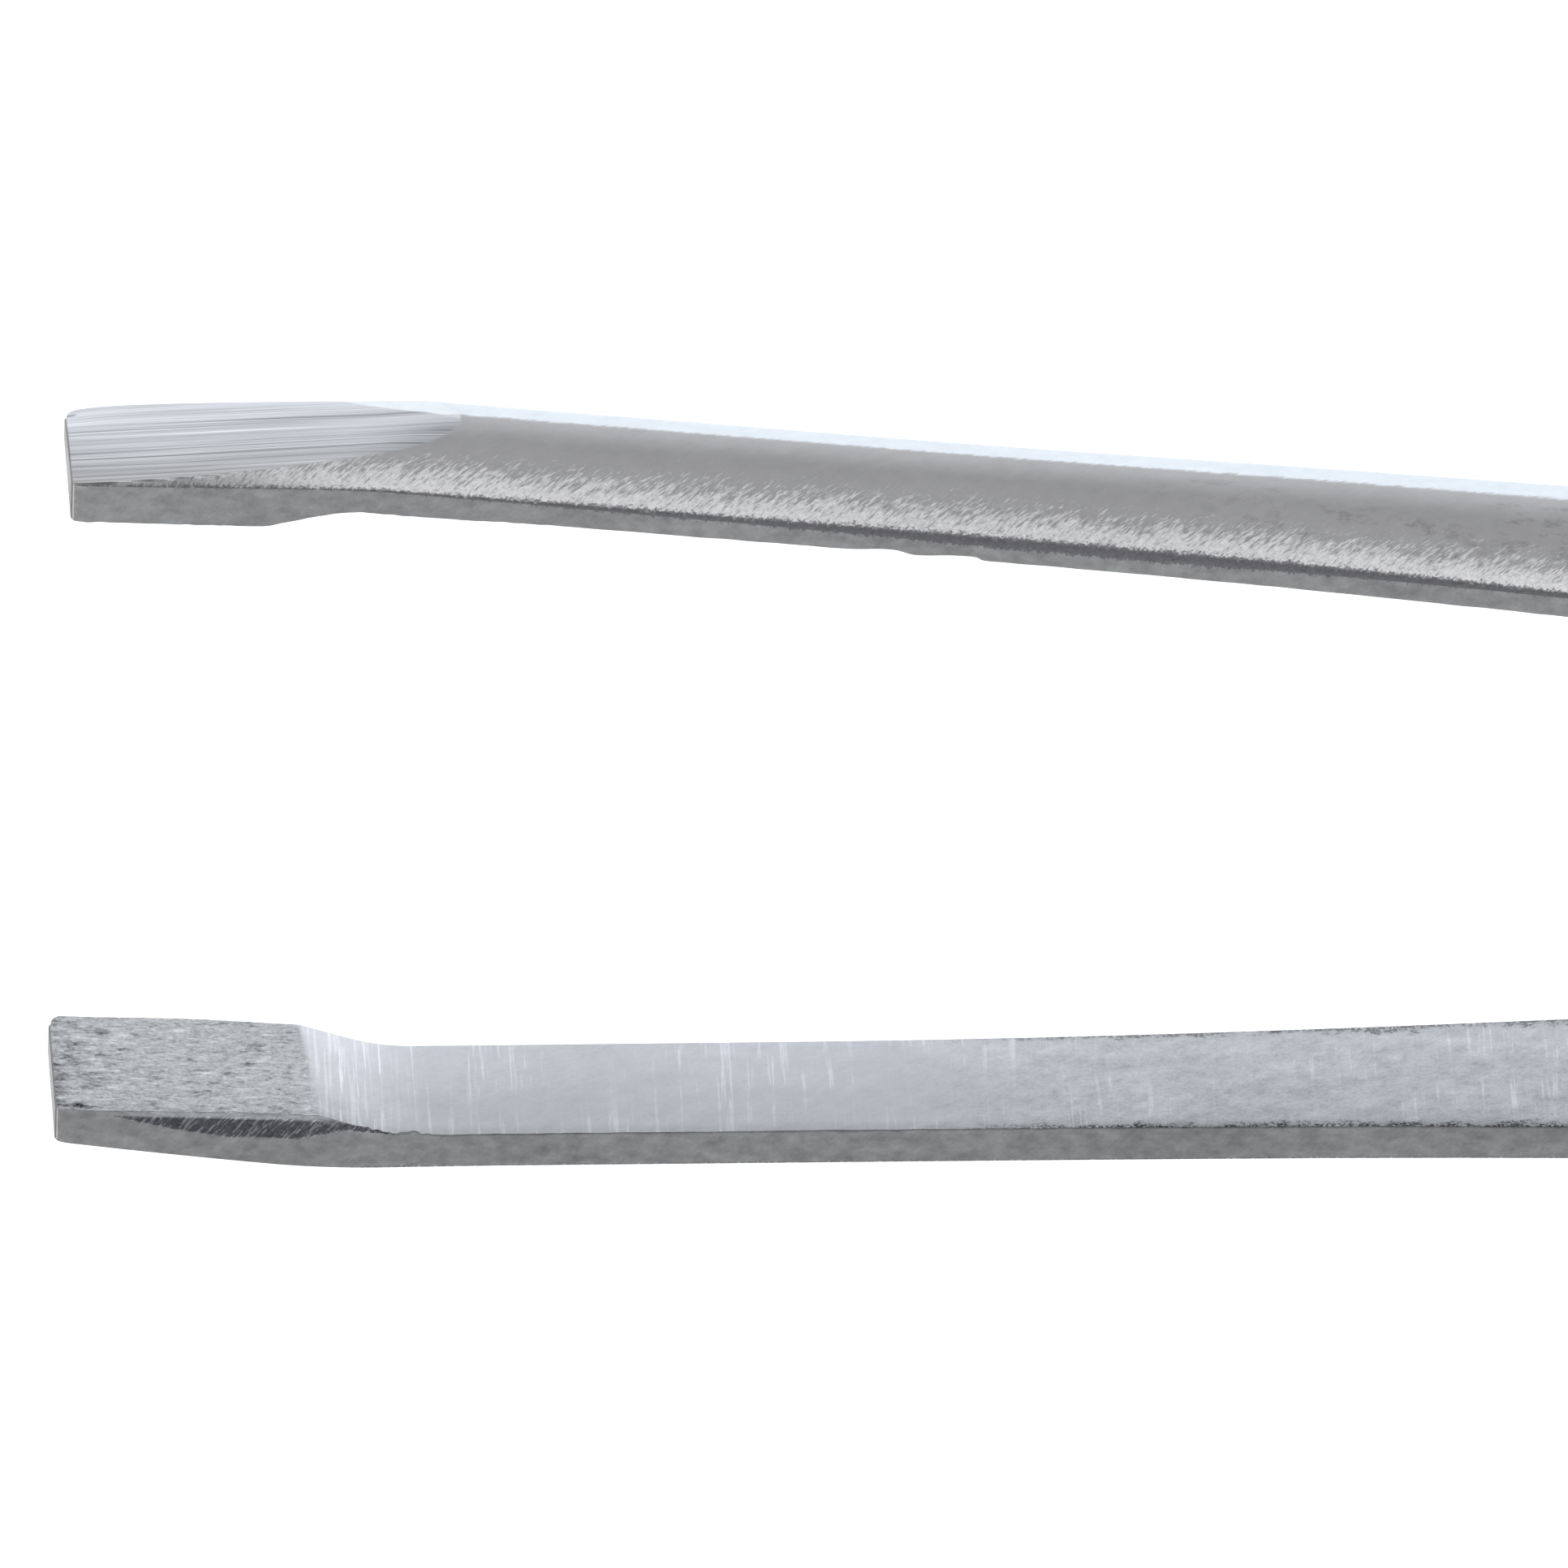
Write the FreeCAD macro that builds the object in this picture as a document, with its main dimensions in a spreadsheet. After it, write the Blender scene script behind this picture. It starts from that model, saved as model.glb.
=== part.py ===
"""Blunt tip tweezers, lying on their side: two stamped spring steel arms, welded face to face at the butt.

X runs along the tweezers, tips towards -X. Y is the way the tips open. Z is the width of the arms, up.
The origin is on the ground, under the middle of the tweezers. Lengths are in millimetres.
Both arms are drawn on the +Y side, with X counted from the tip. The lower arm is then mirrored.
"""
import FreeCAD, Part
import math
import os
import Sketcher

# Name, size and meaning of every driving dimension. Slopes are rise over run.
SIZES = [
    ("overall_length", 120.0, "tip end to butt end"),
    ("tip_gap", 13.94, "opening between the two gripping pads"),
    ("tip_width", 2.5, "width of an arm at its tip end"),
    ("tip_skew", 0.085, "slant of the tip end across the width"),
    ("tip_stock", 1.5, "extra length in front, ground away to the tip end"),
    ("upper_pad_length", 4.0, "upper gripping pad, on its shorter side"),
    ("lower_pad_length", 4.5, "lower gripping pad, on its shorter side"),
    ("relief_depth", 0.796, "pad above the relieved face behind it, if both reached the tip end"),
    ("upper_pad_skew", 0.0, "slant of the upper pad's back edge across the width"),
    ("lower_pad_skew", 0.176, "slant of the lower pad's back edge across the width"),
    ("pad_ramp_slope", 0.3, "slope of the ramp behind the pad"),
    ("pad_edge_radius", 0.25, "rounding of the pad's back edge"),
    ("relief_radius", 3.0, "hollow where the ramp meets the relieved face"),
    ("arm_slope", 0.0657, "closing slope of the straight blade"),
    ("blade_length", 32.0, "straight part of the arm behind the tip"),
    ("bow_end", 88.0, "where the outward bow turns into the bend"),
    ("joint_start", 107.0, "where the arms come together"),
    ("upper_thickness", 0.91, "blade thickness of the upper arm"),
    ("lower_thickness", 1.0, "blade thickness of the lower arm"),
    ("grip_thickness", 1.25, "arm thickness where they are welded"),
    ("upper_setback", 0.0, "how much shorter the upper arm's tip is ground"),
    ("lower_setback", 0.09, "how much shorter the lower arm's tip is ground"),
    ("neck_start", 7.6, "where the narrow neck starts"),
    ("neck_width", 2.38, "width of the neck"),
    ("flare_start", 13.3, "where the arm starts to widen"),
    ("flare_middle", 51.0, "where the widening eases off"),
    ("grip_start", 70.0, "where the full width starts"),
    ("grip_end", 92.0, "where the full width ends"),
    ("grip_width", 8.0, "full width of an arm"),
    ("butt_width", 6.4, "width in front of the butt's corners"),
    ("butt_corner", 2.4, "length of the rounded butt end"),
    ("edge_radius", 0.5, "rounding of the long outer edges"),
    ("facet_length", 7.5, "ground facet on the outside of the tip"),
    ("facet_crest", 6.6, "highest point of the facet's arc"),
    ("facet_radius", 34.0, "radius of the wheel-ground facet"),
    ("trim_margin", 3.0, "how far the trimming cuts reach past the arm"),
]
VALUES = {name: value for name, value, meaning in SIZES}

# How closely a point has to lie on a surface to count as on it.
CONTACT = 1e-4


def make_sheet(doc):
    """The table of driving dimensions, one row for each."""
    sheet = doc.addObject("Spreadsheet::Sheet", "sizes")
    for row, (name, value, meaning) in enumerate(SIZES, start=1):
        sheet.set("A%d" % row, name)
        sheet.set("B%d" % row, repr(value))
        sheet.set("C%d" % row, meaning)
        sheet.setAlias("B%d" % row, name)
    doc.recompute()
    return sheet


def bound(formula):
    """A formula in the dimensions' names, as an expression on the sheet."""
    return " ".join("sizes." + word if word in VALUES else word for word in formula.split())


def new_sketch(body, name, role):
    """An empty sketch on one of the body's own origin planes."""
    sketch = body.newObject("Sketcher::SketchObject", name)
    plane = [item for item in body.Origin.OriginFeatures if item.Role == role][0]
    sketch.AttachmentSupport = [(plane, "")]
    sketch.MapMode = "FlatFace"
    return sketch


def add_line(sketch, start, end):
    """A straight edge. Returns it with the numbers of its start and end."""
    edge = Part.LineSegment(FreeCAD.Vector(start[0], start[1], 0), FreeCAD.Vector(end[0], end[1], 0))
    return sketch.addGeometry(edge, False), 1, 2


def add_loop(sketch, corners):
    """A closed outline of straight edges. Edge number n starts at corner n."""
    following = corners[1:] + corners[:1]
    edges = [add_line(sketch, corner, after)[0] for corner, after in zip(corners, following)]
    for edge, after in zip(edges, edges[1:] + edges[:1]):
        tie(sketch, "Coincident", edge, 2, after, 1)
    return edges


def add_bend(sketch, start, end, slope):
    """A round edge that leaves start along a slope. Returns it with the numbers of its two ends."""
    first = FreeCAD.Vector(start[0], start[1], 0)
    last = FreeCAD.Vector(end[0], end[1], 0)
    normal = FreeCAD.Vector(-slope, 1, 0).normalize()
    chord = last - first
    radius = chord.Length ** 2 / (2 * chord.dot(normal))
    centre = first + normal * radius
    turns = [math.atan2(point.y - centre.y, point.x - centre.x) for point in (first, last)]
    sweep = (turns[1] - turns[0]) % (2 * math.pi)
    forward = sweep < math.pi
    if not forward:
        turns.reverse()
    circle = Part.Circle(centre, FreeCAD.Vector(0, 0, 1), abs(radius))
    edge = sketch.addGeometry(Part.ArcOfCircle(circle, turns[0], turns[1]), False)
    return (edge, 1, 2) if forward else (edge, 2, 1)


def tie(sketch, kind, one, one_end, other, other_end):
    """Join two ends of the outline, by a corner (Coincident) or smoothly (Tangent)."""
    sketch.addConstraint(Sketcher.Constraint(kind, one, one_end, other, other_end))


def hold(sketch, edge, end, across=None, up=None):
    """Set one end's distances from the sketch's origin by formulas in the dimensions' names."""
    point = sketch.getPoint(edge, end)
    for kind, formula, amount in (("DistanceX", across, point.x), ("DistanceY", up, point.y)):
        if formula is None:
            continue
        if amount < 0:
            constraint = Sketcher.Constraint(kind, edge, end, -1, 1, -amount)
        else:
            constraint = Sketcher.Constraint(kind, -1, 1, edge, end, amount)
        number = sketch.addConstraint(constraint)
        name = "%s_%d" % (kind, number)
        sketch.renameConstraint(number, name)
        sketch.setExpression("Constraints." + name, bound(formula))


def inner_line(across):
    """Distance of the blade's relieved inner face from the middle plane, at a distance from the tip."""
    return VALUES["tip_gap"] / 2 + VALUES["relief_depth"] - VALUES["arm_slope"] * across


def inner_formula(across):
    """The same distance as a formula for the sheet."""
    return "tip_gap / 2 + relief_depth - arm_slope * " + across


def draw_side(body, arm):
    """The arm seen from its side: straight blade, long outward bow, bend and flat joint."""
    sketch = new_sketch(body, body.Name + "_side", "XY_Plane")
    front = -VALUES["tip_stock"]
    blade = VALUES["blade_length"]
    bow = VALUES["bow_end"]
    joint = VALUES["joint_start"]
    end = VALUES["overall_length"]
    slope = VALUES["arm_slope"]
    thickness = arm + "_thickness"
    depth = VALUES[thickness]
    grip = VALUES["grip_thickness"]

    def turn_height(blade_height, joint_height):
        # Two smooth arcs between the blade and the joint meet here, for small slopes.
        fall = blade_height - joint_height - slope * (bow - blade) / 2
        return joint_height + fall * (joint - bow) / (joint - blade)

    inner_turn = (bow, turn_height(inner_line(blade), 0))
    outer_turn = (bow, turn_height(inner_line(blade) + depth, grip))
    inner_blade = add_line(sketch, (front, inner_line(front)), (blade, inner_line(blade)))
    inner_bow = add_bend(sketch, (blade, inner_line(blade)), inner_turn, -slope)
    inner_bend = add_bend(sketch, (joint, 0), inner_turn, 0)
    inner_joint = add_line(sketch, (joint, 0), (end, 0))
    butt = add_line(sketch, (end, 0), (end, grip))
    outer_joint = add_line(sketch, (end, grip), (joint, grip))
    outer_bend = add_bend(sketch, (joint, grip), outer_turn, 0)
    outer_bow = add_bend(sketch, (blade, inner_line(blade) + depth), outer_turn, -slope)
    outer_blade = add_line(sketch, (blade, inner_line(blade) + depth), (front, inner_line(front) + depth))
    tip = add_line(sketch, (front, inner_line(front) + depth), (front, inner_line(front)))

    tie(sketch, "Tangent", inner_blade[0], inner_blade[2], inner_bow[0], inner_bow[1])
    tie(sketch, "Tangent", inner_bow[0], inner_bow[2], inner_bend[0], inner_bend[2])
    tie(sketch, "Tangent", inner_bend[0], inner_bend[1], inner_joint[0], inner_joint[1])
    tie(sketch, "Coincident", inner_joint[0], inner_joint[2], butt[0], butt[1])
    tie(sketch, "Coincident", butt[0], butt[2], outer_joint[0], outer_joint[1])
    tie(sketch, "Tangent", outer_joint[0], outer_joint[2], outer_bend[0], outer_bend[1])
    tie(sketch, "Tangent", outer_bend[0], outer_bend[2], outer_bow[0], outer_bow[2])
    tie(sketch, "Tangent", outer_bow[0], outer_bow[1], outer_blade[0], outer_blade[1])
    tie(sketch, "Coincident", outer_blade[0], outer_blade[2], tip[0], tip[1])
    tie(sketch, "Coincident", tip[0], tip[2], inner_blade[0], inner_blade[1])

    outer = " + " + thickness
    hold(sketch, inner_blade[0], inner_blade[1], "tip_stock", inner_formula("( 0 - tip_stock )"))
    hold(sketch, inner_blade[0], inner_blade[2], "blade_length", inner_formula("blade_length"))
    hold(sketch, inner_bow[0], inner_bow[2], "bow_end")
    hold(sketch, inner_joint[0], inner_joint[1], "joint_start")
    sketch.addConstraint(Sketcher.Constraint("PointOnObject", inner_joint[0], inner_joint[1], -1))
    sketch.addConstraint(Sketcher.Constraint("Horizontal", inner_joint[0]))
    hold(sketch, butt[0], butt[1], "overall_length")
    sketch.addConstraint(Sketcher.Constraint("Vertical", butt[0]))
    sketch.addConstraint(Sketcher.Constraint("Horizontal", outer_joint[0]))
    hold(sketch, outer_joint[0], outer_joint[2], "joint_start", "grip_thickness")
    hold(sketch, outer_bow[0], outer_bow[2], "bow_end")
    hold(sketch, outer_blade[0], outer_blade[1], "blade_length", inner_formula("blade_length") + outer)
    hold(sketch, outer_blade[0], outer_blade[2], "tip_stock", inner_formula("( 0 - tip_stock )") + outer)
    return sketch, [outer_joint[0], outer_bend[0], outer_bow[0], outer_blade[0]]


def add_pad(body, arm):
    """The raised gripping pad and its ramp, drawn at z = 0 and carried across the width on a slant."""
    sketch = new_sketch(body, body.Name + "_pad_side", "XY_Plane")
    thickness = arm + "_thickness"
    skew = arm + "_pad_skew"
    length = arm + "_pad_length"
    slant = VALUES[skew]
    half_gap = VALUES["tip_gap"] / 2
    half_depth = VALUES[thickness] / 2
    front = -VALUES["tip_stock"] - VALUES["grip_width"] * abs(slant)
    back = VALUES[length] - slant * (VALUES["grip_width"] - VALUES["tip_width"]) / 2
    ramp = (inner_line(back) + half_depth - half_gap) / (VALUES["pad_ramp_slope"] + VALUES["arm_slope"])
    ramp_top = (back + ramp, half_gap + ramp * VALUES["pad_ramp_slope"])
    front_top = (front, inner_line(front) + half_depth)
    edges = add_loop(sketch, [(front, half_gap), (back, half_gap), ramp_top, front_top])

    half_depth_formula = " + " + thickness + " / 2"
    front_formula = "tip_stock + grip_width * abs( %s )" % skew
    back_formula = length + " - " + skew + " * ( grip_width - tip_width ) / 2"
    rise_formula = "( " + inner_formula("( " + back_formula + " )") + half_depth_formula + " - tip_gap / 2 )"
    ramp_formula = rise_formula + " / ( pad_ramp_slope + arm_slope )"
    hold(sketch, edges[0], 1, front_formula, "tip_gap / 2")
    hold(sketch, edges[1], 1, back_formula, "tip_gap / 2")
    hold(sketch, edges[2], 1, back_formula + " + " + ramp_formula,
         "tip_gap / 2 + pad_ramp_slope * " + ramp_formula)
    hold(sketch, edges[3], 1, front_formula,
         inner_formula("( 0 - tip_stock - grip_width * abs( %s ) )" % skew) + half_depth_formula)
    pad = body.newObject("PartDesign::Pad", body.Name + "_pad")
    pad.Profile = sketch
    pad.UseCustomVector = True
    pad.AlongSketchNormal = True
    pad.Direction = FreeCAD.Vector(slant, 0, 1)
    pad.setExpression("Direction.x", bound(skew))
    pad.setExpression("Length", bound("grip_width"))


def draw_plan(body, arm):
    """The arm seen from outside: narrow tip, neck, flare, parallel grip and rounded butt, as a trim line."""
    sketch = new_sketch(body, body.Name + "_plan", "XZ_Plane")
    middle = VALUES["grip_width"] / 2
    neck = VALUES["neck_start"]
    flare = VALUES["flare_start"]
    ease = VALUES["flare_middle"]
    grip = VALUES["grip_start"]
    grip_end = VALUES["grip_end"]
    end = VALUES["overall_length"]
    corner = end - VALUES["butt_corner"]
    ease_share = (ease - flare) / (grip - flare)
    ease_half = (VALUES["neck_width"] + ease_share * (VALUES["grip_width"] - VALUES["neck_width"])) / 2
    setback = arm + "_setback"
    tip_at = {-1: VALUES[setback], 1: VALUES[setback] + VALUES["tip_skew"] * VALUES["tip_width"]}
    tips = []
    ends = []
    for side, sign in ((-1, " - "), (1, " + ")):
        tip_point = (tip_at[side], middle + side * VALUES["tip_width"] / 2)
        neck_point = (neck, middle + side * VALUES["neck_width"] / 2)
        flare_point = (flare, neck_point[1])
        ease_point = (ease, middle + side * ease_half)
        grip_point = (grip, middle + side * VALUES["grip_width"] / 2)
        grip_end_point = (grip_end, grip_point[1])
        corner_point = (corner, middle + side * VALUES["butt_width"] / 2)
        fall = (VALUES["grip_width"] - VALUES["butt_width"]) / 2
        taper_slope = -side * 2 * fall / (corner - grip_end)
        end_point = (end, corner_point[1] - side * VALUES["butt_corner"])
        cheek = add_line(sketch, tip_point, neck_point)
        neck_edge = add_line(sketch, neck_point, flare_point)
        flare_edge = add_bend(sketch, flare_point, ease_point, 0)
        ease_edge = add_bend(sketch, grip_point, ease_point, 0)
        grip_edge = add_line(sketch, grip_point, grip_end_point)
        taper = add_bend(sketch, grip_end_point, corner_point, 0)
        corner_edge = add_bend(sketch, corner_point, end_point, taper_slope)
        tie(sketch, "Coincident", cheek[0], cheek[2], neck_edge[0], neck_edge[1])
        tie(sketch, "Tangent", neck_edge[0], neck_edge[2], flare_edge[0], flare_edge[1])
        tie(sketch, "Tangent", flare_edge[0], flare_edge[2], ease_edge[0], ease_edge[2])
        tie(sketch, "Tangent", ease_edge[0], ease_edge[1], grip_edge[0], grip_edge[1])
        tie(sketch, "Tangent", grip_edge[0], grip_edge[2], taper[0], taper[1])
        tie(sketch, "Tangent", taper[0], taper[2], corner_edge[0], corner_edge[1])
        half = "grip_width / 2" + sign
        if side > 0:
            hold(sketch, cheek[0], cheek[1], setback + " + tip_skew * tip_width", half + "tip_width / 2")
        else:
            hold(sketch, cheek[0], cheek[1], setback, half + "tip_width / 2")
        hold(sketch, neck_edge[0], neck_edge[1], "neck_start", half + "neck_width / 2")
        hold(sketch, neck_edge[0], neck_edge[2], "flare_start")
        sketch.addConstraint(Sketcher.Constraint("Horizontal", neck_edge[0]))
        hold(sketch, flare_edge[0], flare_edge[2], "flare_middle")
        if side > 0:
            hold(sketch, grip_edge[0], grip_edge[1], "grip_start", half + "grip_width / 2")
        else:
            hold(sketch, grip_edge[0], grip_edge[1], "grip_start")
            sketch.addConstraint(Sketcher.Constraint("PointOnObject", grip_edge[0], grip_edge[1], -1))
        sketch.addConstraint(Sketcher.Constraint("Horizontal", grip_edge[0]))
        hold(sketch, grip_edge[0], grip_edge[2], "grip_end")
        hold(sketch, taper[0], taper[2], "overall_length - butt_corner", half + "butt_width / 2")
        tips.append(cheek)
        ends.append(corner_edge)
    tip_end = add_line(sketch, (tip_at[-1], middle - VALUES["tip_width"] / 2),
                       (tip_at[1], middle + VALUES["tip_width"] / 2))
    tie(sketch, "Coincident", tip_end[0], tip_end[1], tips[0][0], tips[0][1])
    tie(sketch, "Coincident", tip_end[0], tip_end[2], tips[1][0], tips[1][1])
    end_points = [sketch.getPoint(edge[0], edge[2]) for edge in ends]
    butt = add_line(sketch, (end, end_points[0].y), (end, end_points[1].y))
    tie(sketch, "Tangent", butt[0], butt[1], ends[0][0], ends[0][2])
    tie(sketch, "Tangent", butt[0], butt[2], ends[1][0], ends[1][2])
    sketch.addConstraint(Sketcher.Constraint("Vertical", butt[0]))
    hold(sketch, butt[0], butt[1], "overall_length")
    add_trim_border(sketch, arm)
    return sketch


def add_trim_border(sketch, arm):
    """A rectangle well outside the stock, so that the trim takes away all that lies between."""
    skew = arm + "_pad_skew"
    margin = VALUES["trim_margin"]
    front = -VALUES["tip_stock"] - VALUES["grip_width"] * abs(VALUES[skew]) - margin
    far = VALUES["overall_length"] + margin
    top = VALUES["grip_width"] + margin
    edges = add_loop(sketch, [(front, -margin), (far, -margin), (far, top), (front, top)])
    front_formula = "tip_stock + grip_width * abs( %s ) + trim_margin" % skew
    hold(sketch, edges[0], 1, front_formula, "trim_margin")
    hold(sketch, edges[1], 1, "overall_length + trim_margin", "trim_margin")
    hold(sketch, edges[2], 1, "overall_length + trim_margin", "grip_width + trim_margin")
    hold(sketch, edges[3], 1, front_formula, "grip_width + trim_margin")


def draw_facet(body, arm):
    """What the grinding wheel takes off the outside of the tip: all above one long arc."""
    sketch = new_sketch(body, body.Name + "_facet_side", "XY_Plane")
    radius = VALUES["facet_radius"]
    crest = VALUES["facet_crest"]
    length = VALUES["facet_length"]
    thickness = arm + "_thickness"
    start_height = inner_line(length) + VALUES[thickness]
    centre = start_height - math.sqrt(radius ** 2 - (length - crest) ** 2)
    front = -VALUES["trim_margin"]
    front_height = centre + math.sqrt(radius ** 2 - (front - crest) ** 2)
    top = start_height + VALUES["trim_margin"]
    circle = Part.Circle(FreeCAD.Vector(crest, centre, 0), FreeCAD.Vector(0, 0, 1), radius)
    start_turn = math.atan2(start_height - centre, length - crest)
    front_turn = math.atan2(front_height - centre, front - crest)
    arc = sketch.addGeometry(Part.ArcOfCircle(circle, start_turn, front_turn), False)
    front_wall = add_line(sketch, (front, front_height), (front, top))
    lid = add_line(sketch, (front, top), (length, top))
    back_wall = add_line(sketch, (length, top), (length, start_height))
    tie(sketch, "Coincident", arc, 2, front_wall[0], 1)
    tie(sketch, "Coincident", front_wall[0], 2, lid[0], 1)
    tie(sketch, "Coincident", lid[0], 2, back_wall[0], 1)
    tie(sketch, "Coincident", back_wall[0], 2, arc, 1)
    sketch.addConstraint(Sketcher.Constraint("Vertical", front_wall[0]))
    sketch.addConstraint(Sketcher.Constraint("Horizontal", lid[0]))
    sketch.addConstraint(Sketcher.Constraint("Vertical", back_wall[0]))
    start_formula = inner_formula("facet_length") + " + " + thickness
    hold(sketch, arc, 1, "facet_length", start_formula)
    hold(sketch, arc, 3, "facet_crest")
    radius_number = sketch.addConstraint(Sketcher.Constraint("Radius", arc, radius))
    sketch.renameConstraint(radius_number, "grind_radius")
    sketch.setExpression("Constraints.grind_radius", bound("facet_radius"))
    hold(sketch, front_wall[0], 2, "trim_margin", start_formula + " + trim_margin")
    return sketch


def cut(body, name, sketch, reverse):
    """A cut through the whole body. It has to take something away."""
    before = body.Shape.Volume
    pocket = body.newObject("PartDesign::Pocket", name)
    pocket.Profile = sketch
    pocket.Type = "ThroughAll"
    pocket.Reversed = reverse
    body.Document.recompute()
    if not pocket.Shape.isValid() or pocket.Shape.Volume >= before:
        raise RuntimeError(name + " takes nothing away")
    return pocket


def crossing_edges(shape):
    """The pad's back edge and the ramp's foot, which cross the whole stock width, nearest the tip first."""
    names = []
    for number, edge in enumerate(shape.Edges, start=1):
        heights = [vertex.Z for vertex in edge.Vertexes]
        along = [vertex.X for vertex in edge.Vertexes]
        full = max(heights) - min(heights) > VALUES["grip_width"] - CONTACT
        if full and min(along) > 0 and max(along) < VALUES["blade_length"] - CONTACT:
            names.append("Edge%d" % number)
    return sorted(names, key=lambda name: shape.getElement(name).CenterOfMass.x)


def outer_edges(shape, side, outer):
    """The long edges where the outer face, drawn by the given lines of the side view, meets the sides."""
    middle = FreeCAD.Vector(0, 0, VALUES["grip_width"] / 2)
    faces = []
    for line in outer:
        curve = side.Geometry[line]
        halfway = curve.value((curve.FirstParameter + curve.LastParameter) / 2)
        point = Part.Vertex(halfway + middle)
        faces += [face for face in shape.Faces if face.distToShape(point)[0] < CONTACT]
    names = []
    for number, edge in enumerate(shape.Edges, start=1):
        touching = [face for face in faces if any(edge.isSame(other) for other in face.Edges)]
        at_tip = max(vertex.X for vertex in edge.Vertexes) < VALUES["tip_stock"]
        if len(touching) == 1 and not at_tip:
            names.append("Edge%d" % number)
    return names


def add_rounding(body, name, names, radius):
    """A fillet on the named edges of the body's last feature."""
    last = body.Tip
    fillet = body.newObject("PartDesign::Fillet", name)
    fillet.Base = (last, names)
    fillet.setExpression("Radius", bound(radius))
    body.Document.recompute()
    if not fillet.Shape.isValid():
        raise RuntimeError(name + " failed")
    return fillet


def build_arm(doc, name, arm):
    """One arm on the +Y side: stamped strip, raised pad, ground relief, trimmed outline, ground tip facet."""
    body = doc.addObject("PartDesign::Body", name)
    side, outer = draw_side(body, arm)
    strip = body.newObject("PartDesign::Pad", name + "_strip")
    strip.Profile = side
    strip.setExpression("Length", bound("grip_width"))
    doc.recompute()
    add_pad(body, arm)
    doc.recompute()
    ramp_foot = crossing_edges(body.Shape)[-1]
    add_rounding(body, name + "_relief", [ramp_foot], "relief_radius")
    back_edge = crossing_edges(body.Shape)[0]
    add_rounding(body, name + "_pad_edge", [back_edge], "pad_edge_radius")
    cut(body, name + "_outline", draw_plan(body, arm), False)
    add_rounding(body, name + "_rounding", outer_edges(body.Shape, side, outer), "edge_radius")
    cut(body, name + "_facet", draw_facet(body, arm), True)
    body.setExpression("Placement.Base.x", bound("0 - overall_length / 2"))
    doc.recompute()
    return body


def mirror_arm(doc, name, body):
    """The same arm on the other side of the middle plane."""
    mirrored = doc.addObject("Part::Mirroring", name)
    mirrored.Source = body
    mirrored.Normal = FreeCAD.Vector(0, 1, 0)
    doc.recompute()
    return mirrored


def check_and_write(doc, parts):
    """Stop on anything that failed, then write one file for each arm."""
    for item in doc.Objects:
        if "Invalid" in item.State or "Error" in item.State:
            raise RuntimeError(item.Name + " failed")
    os.makedirs("parts", exist_ok=True)
    for part in parts:
        shape = part.Shape
        if shape.isNull() or not shape.isValid() or len(shape.Solids) != 1:
            raise RuntimeError(part.Label + " is not one good solid")
        shape.exportStep("parts/%s.step" % part.Label)
        box = shape.BoundBox
        print(part.Label, "volume", round(shape.Volume, 2), "faces", len(shape.Faces))
        print("  x", round(box.XMin, 3), round(box.XMax, 3), "y", round(box.YMin, 3), round(box.YMax, 3))


doc = FreeCAD.newDocument("tweezers")
make_sheet(doc)
upper_arm = build_arm(doc, "upper_arm", "upper")
lower_blank = build_arm(doc, "lower_arm_blank", "lower")
lower_arm = mirror_arm(doc, "lower_arm", lower_blank)
check_and_write(doc, [upper_arm, lower_arm])
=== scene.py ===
"""Blunt tip tweezers on a pale floor: two ground steel arms, each one closed surface from numpy."""

import math

import bpy
import numpy as np
from bpy.props import FloatProperty, FloatVectorProperty, PointerProperty
from mathutils import Matrix, Vector


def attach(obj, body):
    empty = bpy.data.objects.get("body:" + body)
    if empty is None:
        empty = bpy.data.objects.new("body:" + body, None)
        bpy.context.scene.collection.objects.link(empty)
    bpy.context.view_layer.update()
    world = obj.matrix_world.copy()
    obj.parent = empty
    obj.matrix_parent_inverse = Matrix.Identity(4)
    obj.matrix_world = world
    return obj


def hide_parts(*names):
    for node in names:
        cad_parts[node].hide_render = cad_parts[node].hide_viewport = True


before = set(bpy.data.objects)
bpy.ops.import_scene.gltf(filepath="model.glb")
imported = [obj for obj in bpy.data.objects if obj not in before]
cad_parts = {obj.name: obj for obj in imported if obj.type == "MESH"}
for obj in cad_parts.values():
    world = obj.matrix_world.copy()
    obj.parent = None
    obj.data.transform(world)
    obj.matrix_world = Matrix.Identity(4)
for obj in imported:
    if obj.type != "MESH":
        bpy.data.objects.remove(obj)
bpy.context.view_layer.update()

bl_info = {
    "name": "Blunt tip tweezers",
    "version": (1, 0, 0),
    "blender": (4, 5, 0),
    "location": "3D View > Sidebar > Tweezers",
    "description": "Two ground steel tweezer arms and a plain photo stage",
    "category": "Add Mesh",
}

# Lengths in millimetres, in the arms' own terms: x from the tip's far corner, d from the middle plane and
# z from mid width
MM_PER_M = 1000.0
LENGTH = 120.0
MIDDLE_Z = 4.0
PAD_PLANE = 6.97
RELIEF = 0.796
ARM_SLOPE = 0.0657
BLADE_END = 32.0
BOW_END = 88.0
JOINT_START = 107.0
BEND_SHARE = 28.0
GRIP_THICKNESS = 1.25
TIP_HALF = 1.25
TIP_SKEW = 0.085
PAD_RAMP = 0.3
SKEW_END = 14.0
TIP_CORNER = 0.22
BUTT_START = 117.6
BUTT_ROUND = 2.4
FACET_END = 7.1

# Height of the bevel under the lower pad, by place along the arm, and of the ledge between them
BEVEL_PLACES = (1.0, 2.0, 2.9, 4.1, 4.6, 4.95, 5.5, 6.0)
BEVEL_HEIGHTS = (0.0, 0.27, 0.41, 0.42, 0.29, 0.15, 0.09, 0.0)
BEVEL_SLANT = 0.1
LEDGE = 0.13
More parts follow.
